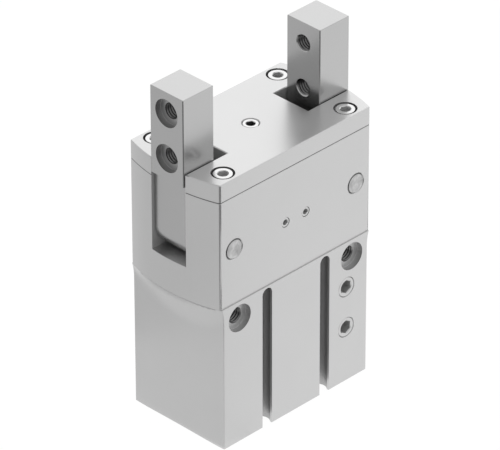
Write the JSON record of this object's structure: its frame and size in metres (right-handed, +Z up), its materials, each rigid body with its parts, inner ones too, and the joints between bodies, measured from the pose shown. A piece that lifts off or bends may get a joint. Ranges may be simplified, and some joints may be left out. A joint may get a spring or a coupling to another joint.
{
  "type": "radial gripper",
  "caption": "Compact pneumatic radial gripper: a flat body with an air cylinder, and upright jaws that swing outwards on pins from parallel to fully open.",
  "frame": {"origin": "centre of the base, on the face that the body stands on", "axes": "+Z up along the cylinder, out of the body towards the finger ends; X along the wide faces, through both jaws; -Y is the front, with the sensor grooves and the plugged air ports"},
  "size_m": [0.0526, 0.0288, 0.0896],
  "materials": {
    "anodised_aluminium": "clear hard anodised, satin",
    "turned_aluminium": "turned and anodised",
    "hardened_steel": "hardened and ground",
    "ground_steel": "ground pin",
    "screw_steel": "stainless screw",
    "spring_steel": "phosphated spring steel",
    "sintered_bronze": "oiled sintered bronze",
    "seal_rubber": "moulded",
    "guide_plastic": "filled bearing plastic",
    "magnet": "plated magnet"
  },
  "bodies": {
    "housing": {"housing": "anodised_aluminium", "cover_plate": "anodised_aluminium", "cover_screws": "screw_steel", "cover_port_screw": "screw_steel", "grease_screws": "screw_steel", "port_plugs": "screw_steel", "left_pivot_pin": "ground_steel", "right_pivot_pin": "ground_steel", "rod_bush": "sintered_bronze", "rod_seal": "seal_rubber", "upper_bumper": "seal_rubber", "lower_bumper": "seal_rubber", "end_cap": "turned_aluminium", "end_cap_seal": "seal_rubber", "retaining_ring": "spring_steel"},
    "drive": {"crosshead": "hardened_steel", "drive_pins": "ground_steel", "piston_rod": "ground_steel", "piston": "turned_aluminium", "piston_seal": "seal_rubber", "piston_guide_ring": "guide_plastic", "piston_magnet": "magnet", "magnet_clamp": "turned_aluminium", "piston_screw": "screw_steel"},
    "left_jaw": {"left_jaw": "hardened_steel"},
    "right_jaw": {"right_jaw": "hardened_steel"}
  },
  "joints": [
    {"name": "left_jaw_swing", "type": "hinge", "parent": "housing", "child": "left_jaw", "pos_m": [-0.0195, 0, 0.05219], "axis": [0, -1, 0], "range_deg": [-10, 90]},
    {"name": "right_jaw_swing", "type": "hinge", "parent": "housing", "child": "right_jaw", "pos_m": [0.0195, 0, 0.05219], "axis": [0, 1, 0], "range_deg": [-10, 90]},
    {"name": "piston_slide", "type": "slide", "parent": "housing", "child": "drive", "axis": [0, 0, 1], "range_m": [-0.00081, 0.00721]}
  ],
  "couplings": [
    {"joint": "right_jaw_swing", "follows": "left_jaw_swing", "ratio": 1},
    {"joint": "piston_slide", "follows": "left_jaw_swing", "m_per_rad": 0.0045837}
  ]
}
